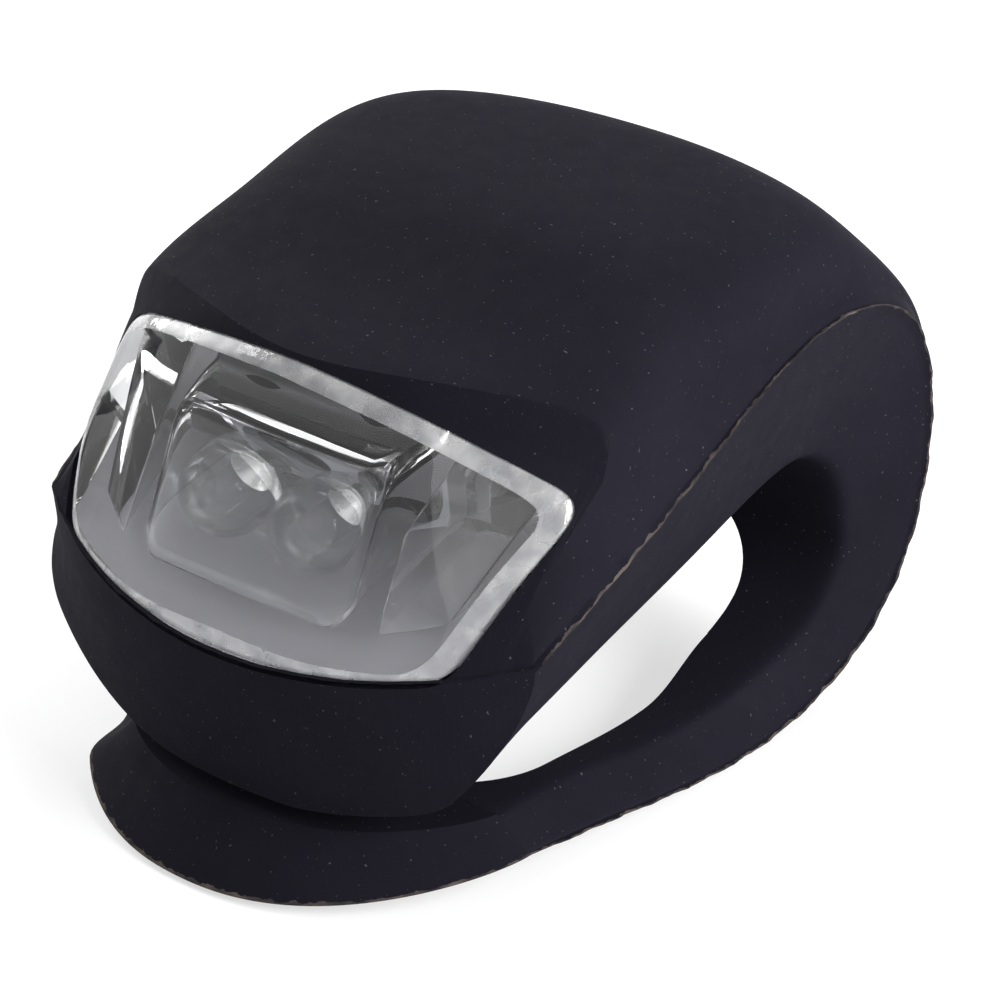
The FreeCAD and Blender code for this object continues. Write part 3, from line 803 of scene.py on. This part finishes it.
# %% Silicone
def silicone(name, with_line):
    """Matt near-black rubber with sparse dust and a fine grain, and with a paler, ragged parting line."""
    material, shader = finish(name, (0.0074, 0.0070, 0.0108), 0.7, Specular_IOR_Level=0.02)
    cloud = band(material, noise(material, 260.0), 0.35, 0.65)
    colour = mix_colour(material, cloud, (0.0070, 0.0066, 0.0103), (0.0078, 0.0074, 0.0113))
    dust = band(material, noise(material, 5200.0, 1.0), 0.735, 0.775)
    colour = mix_colour(material, dust, colour, (0.045, 0.045, 0.05))
    if with_line:
        where = add(material, "ShaderNodeUVMap", uv_map="surface")
        split = add(material, "ShaderNodeSeparateXYZ")
        wire(material, where.outputs["UV"], split.inputs["Vector"])
        beside = math_node(material, "SUBTRACT", split.outputs["Y"], 0.5)
        away = math_node(material, "ABSOLUTE", beside, 0.0)
        ragged = band(material, noise(material, 1900.0, 4.0), 0.3, 0.7, 0.0004, 0.0022)
        line = math_node(material, "LESS_THAN", away, ragged)
        patchy = band(material, noise(material, 700.0, 3.0), 0.40, 0.60, 0.25, 0.95)
        share = math_node(material, "MULTIPLY", line, patchy)
        colour = mix_colour(material, share, colour, (0.075, 0.062, 0.055))
    wire(material, colour, shader.inputs["Base Color"])
    rough = band(material, noise(material, 900.0, 4.0), 0.3, 0.7, 0.65, 0.75)
    wire(material, rough, shader.inputs["Roughness"])
    bump(material, shader, noise(material, 7000.0, 4.0), 0.12, 0.00003)
    return material


rubber = silicone("silicone_rubber", True)
flash_rubber = silicone("silicone_flash", False)
for thing in (jacket, strap):
    thing.data.materials.clear()
    thing.data.materials.append(rubber)
for thing in (hook, nose_flash):
    thing.data.materials.append(flash_rubber)

# %% [markdown]
# ## Clear and frosted plastic
# The window is polished, with a faint ripple from moulding. The rim is as rough as it left the mould, so
# it spreads the light and looks silvery. Its patches come from noise in its roughness and its colour.

# %% Clear and frosted plastic
clear, shader = finish("clear_acrylic", (0.985, 0.99, 1.0), 0.01, Transmission_Weight=1.0, IOR=1.49)
bump(clear, shader, noise(clear, 130.0, 1.0), 0.03, 0.0001)
frost, shader = finish("frosted_edge", (0.92, 0.92, 0.95), 0.3, Transmission_Weight=0.78, IOR=1.45)
streaks = band(frost, noise(frost, 420.0, 4.0), 0.42, 0.58, 0.06, 0.42)
wire(frost, streaks, shader.inputs["Roughness"])
patches = band(frost, noise(frost, 650.0, 2.0), 0.4, 0.6)
wire(frost, mix_colour(frost, patches, (0.7, 0.7, 0.73), (1.0, 1.0, 1.0)), shader.inputs["Base Color"])
bump(frost, shader, noise(frost, 900.0, 4.0), 0.5, 0.00012)
milky, shader = finish("milky_underside", (0.38, 0.38, 0.41), 0.5, Transmission_Weight=0.1, IOR=1.45)
bump(milky, shader, noise(milky, 300.0, 3.0), 0.3, 0.0001)

# %% [markdown]
# ## Finishes of the CAD pieces
# The pieces inside the module keep their CAD solids, and only their finishes are made here. The lamps'
# white block is seen through the window, where its top lies in shadow, so its finish darkens upwards.

# %% Finishes of the CAD pieces
def simple(name, colour, roughness, spread, scale, grain, **sockets):
    """A plain finish whose colour drifts by the spread, with a fine grain in its surface."""
    material, shader = finish(name, colour, roughness, **sockets)
    darker = tuple(c * (1 - spread) for c in colour)
    tone = mix_colour(material, band(material, noise(material, scale), 0.35, 0.65), darker, colour)
    wire(material, tone, shader.inputs["Base Color"])
    rough = band(material, noise(material, scale * 3), 0.3, 0.7,
                 roughness * 0.85, min(1.0, roughness * 1.15))
    wire(material, rough, shader.inputs["Roughness"])
    bump(material, shader, noise(material, scale * 12, 3.0), grain, 0.00002)
    return material


def darken_above(material, low, high, colour):
    """The finish turns into the colour between two heights over the floor, in metres."""
    shader = material.node_tree.nodes["Principled BSDF"]
    where = add(material, "ShaderNodeTexCoord")
    split = add(material, "ShaderNodeSeparateXYZ")
    wire(material, where.outputs["Object"], split.inputs["Vector"])
    share = band(material, split.outputs["Z"], low, high)
    tone = shader.inputs["Base Color"].links[0].from_socket
    wire(material, mix_colour(material, share, tone, colour), shader.inputs["Base Color"])


case_plastic = simple("case_plastic", (0.03, 0.03, 0.034), 0.4, 0.2, 500.0, 0.2)
black_plastic = simple("black_plastic", (0.02, 0.02, 0.022), 0.45, 0.2, 700.0, 0.2)
steel = simple("cell_steel", (0.62, 0.62, 0.6), 0.28, 0.1, 900.0, 0.1, Metallic=1.0)
board_finish = simple("board_mask", (0.02, 0.11, 0.04), 0.35, 0.2, 1200.0, 0.1)
ceramic = simple("ceramic_block", (0.035, 0.033, 0.03), 0.5, 0.15, 1500.0, 0.1)
lead_metal = simple("tinned_lead", (0.72, 0.72, 0.7), 0.3, 0.1, 1500.0, 0.1, Metallic=1.0)
white_plastic = simple("white_plastic", (0.42, 0.42, 0.45), 0.5, 0.06, 600.0, 0.1)
# painted shade: the white block turns near-black from 21.8 to 23.4 mm over the floor, where its top lies in
# shadow behind the window
darken_above(white_plastic, 0.0218, 0.0234, (0.015, 0.015, 0.017))
brass = simple("contact_brass", (0.7, 0.52, 0.25), 0.3, 0.1, 900.0, 0.1, Metallic=1.0)
resin, shader = finish("led_resin", (0.9, 0.92, 0.95), 0.05, Transmission_Weight=0.97, IOR=1.55)
bump(resin, shader, noise(resin, 400.0, 2.0), 0.05, 0.00005)
for resin_body, metal_cup in lamps:
    resin_body.data.materials.append(resin)
    metal_cup.data.materials.append(lead_metal)

FINISHES = {"module_shell": case_plastic, "battery_cover": case_plastic, "button_cap": case_plastic,
            "lower_cell_can": steel, "upper_cell_can": steel, "lower_cell_cap": steel,
            "upper_cell_cap": steel, "circuit_board": board_finish, "switch_base": black_plastic,
            "switch_plunger": black_plastic, "controller_chip": black_plastic, "resistors": ceramic,
            "led_left_leads": lead_metal, "led_right_leads": lead_metal, "led_holder": white_plastic,
            "positive_contact": brass, "negative_contact": brass}
for node, material in FINISHES.items():
    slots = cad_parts[node].data.materials
    for number in range(len(slots)):
        slots[number] = material
    if len(slots) == 0:
        slots.append(material)
print("CAD pieces with a finish:", len(FINISHES))

# %% [markdown]
# ## Stage, light and camera
# A pale floor, four soft lamps and a quiet world. The world is white to the camera, and to rays that come
# by way of glass or gloss, without more light on the object. The floor keeps the object's shadow.

# %% Floor and world
floor_mesh = bpy.data.meshes.new("floor")
floor_mesh.from_pydata([(-3, -3, 0), (3, -3, 0), (3, 3, 0), (-3, 3, 0)], [], [(0, 1, 2, 3)])
floor = bpy.data.objects.new("floor", floor_mesh)
bpy.context.scene.collection.objects.link(floor)
floor.location.z = -0.00005
paper = bpy.data.materials.new("paper")
paper.use_nodes = True
nodes = paper.node_tree.nodes
nodes.clear()
matt = nodes.new("ShaderNodeBsdfDiffuse")
matt.inputs["Color"].default_value = (0.86, 0.86, 0.86, 1)
glow = nodes.new("ShaderNodeEmission")
glow.inputs["Color"].default_value = (1, 1, 1, 1)
blend = nodes.new("ShaderNodeMixShader")
to_camera = nodes.new("ShaderNodeLightPath")
share = nodes.new("ShaderNodeMath")
share.operation = "MULTIPLY"
share.inputs[1].default_value = 0.6      # how far the floor's own look gives way to white
wire(paper, to_camera.outputs["Is Camera Ray"], share.inputs[0])
wire(paper, share.outputs[0], blend.inputs["Fac"])
out_node = nodes.new("ShaderNodeOutputMaterial")
wire(paper, matt.outputs[0], blend.inputs[1])
wire(paper, glow.outputs[0], blend.inputs[2])
wire(paper, blend.outputs[0], out_node.inputs[0])
floor.data.materials.append(paper)

world = bpy.data.worlds.new("studio")
world.use_nodes = True
bpy.context.scene.world = world
nodes = world.node_tree.nodes
nodes.clear()
path = nodes.new("ShaderNodeLightPath")
seen = nodes.new("ShaderNodeMath")
seen.operation = "MAXIMUM"
seen_more = nodes.new("ShaderNodeMath")
seen_more.operation = "MAXIMUM"
dim = nodes.new("ShaderNodeBackground")
dim.inputs["Color"].default_value = (0.95, 0.97, 1.0, 1)
dim.inputs["Strength"].default_value = 0.28
white = nodes.new("ShaderNodeBackground")
white.inputs["Color"].default_value = (1, 1, 1, 1)
white.inputs["Strength"].default_value = 1.0
choose = nodes.new("ShaderNodeMixShader")
end = nodes.new("ShaderNodeOutputWorld")
link = world.node_tree.links.new
link(path.outputs["Is Camera Ray"], seen.inputs[0])
link(path.outputs["Is Transmission Ray"], seen.inputs[1])
link(seen.outputs[0], seen_more.inputs[0])
link(path.outputs["Is Glossy Ray"], seen_more.inputs[1])
link(seen_more.outputs[0], choose.inputs["Fac"])
link(dim.outputs[0], choose.inputs[1])
link(white.outputs[0], choose.inputs[2])
link(choose.outputs[0], end.inputs[0])


# %% [markdown]
# ## Studio lamps
# Rubber this dark shows its shape by soft differences from side to side, so the lamps stand at both sides
# and behind, and the one in front is weak.

# %% Studio lamps
def lamp(name, azimuth, elevation, distance, size, energy):
    """A square area lamp that faces the object's middle, from x = d sin a cos e, y = -d cos a cos e and
    z = d sin e."""
    a, e = math.radians(azimuth), math.radians(elevation)
    direction = np.array([math.sin(a) * math.cos(e), -math.cos(a) * math.cos(e), math.sin(e)])
    light = bpy.data.lights.new(name, "AREA")
    light.energy = energy
    light.size = size
    thing = bpy.data.objects.new(name, light)
    bpy.context.scene.collection.objects.link(thing)
    thing.location = direction * distance + np.array([0, 0, 0.015])
    thing.rotation_euler = (math.pi / 2 - e, 0, a)
    return thing


lamp("key", 100, 24, 0.45, 0.30, 4.8)
lamp("left", -95, 25, 0.45, 0.30, 2.1)
lamp("front", 25, 40, 0.50, 0.30, 0.4)
lamp("back", 195, 52, 0.50, 0.30, 1.8)

# %% [markdown]
# ## Camera
# The camera stands at azimuth 38.8 and elevation 27.7 degrees, level, with a long lens. Its place was
# fitted to the photograph's own left and right halves. Its focal length is given in the photograph's
# pixels, which its side of 986 pixels turns into millimetres on a sensor.

# %% Camera
AZIMUTH, ELEVATION = 38.8, 27.7
FOCAL_PIXELS, PHOTO_SIDE, SENSOR = 3515.0, 986.0, 36.0
camera_data = bpy.data.cameras.new("photo_camera")
camera_data.sensor_width = SENSOR
camera_data.lens = FOCAL_PIXELS / PHOTO_SIDE * SENSOR
camera_data.clip_start = 0.01
camera = bpy.data.objects.new("photo_camera", camera_data)
bpy.context.scene.collection.objects.link(camera)
camera.location = (0.1104, -0.13438, 0.1049)
camera.rotation_euler = (math.radians(90 - ELEVATION), 0, math.radians(AZIMUTH))
bpy.context.scene.camera = camera
bpy.context.scene.view_settings.view_transform = "Standard"
print("lens in mm:", round(camera_data.lens, 1))
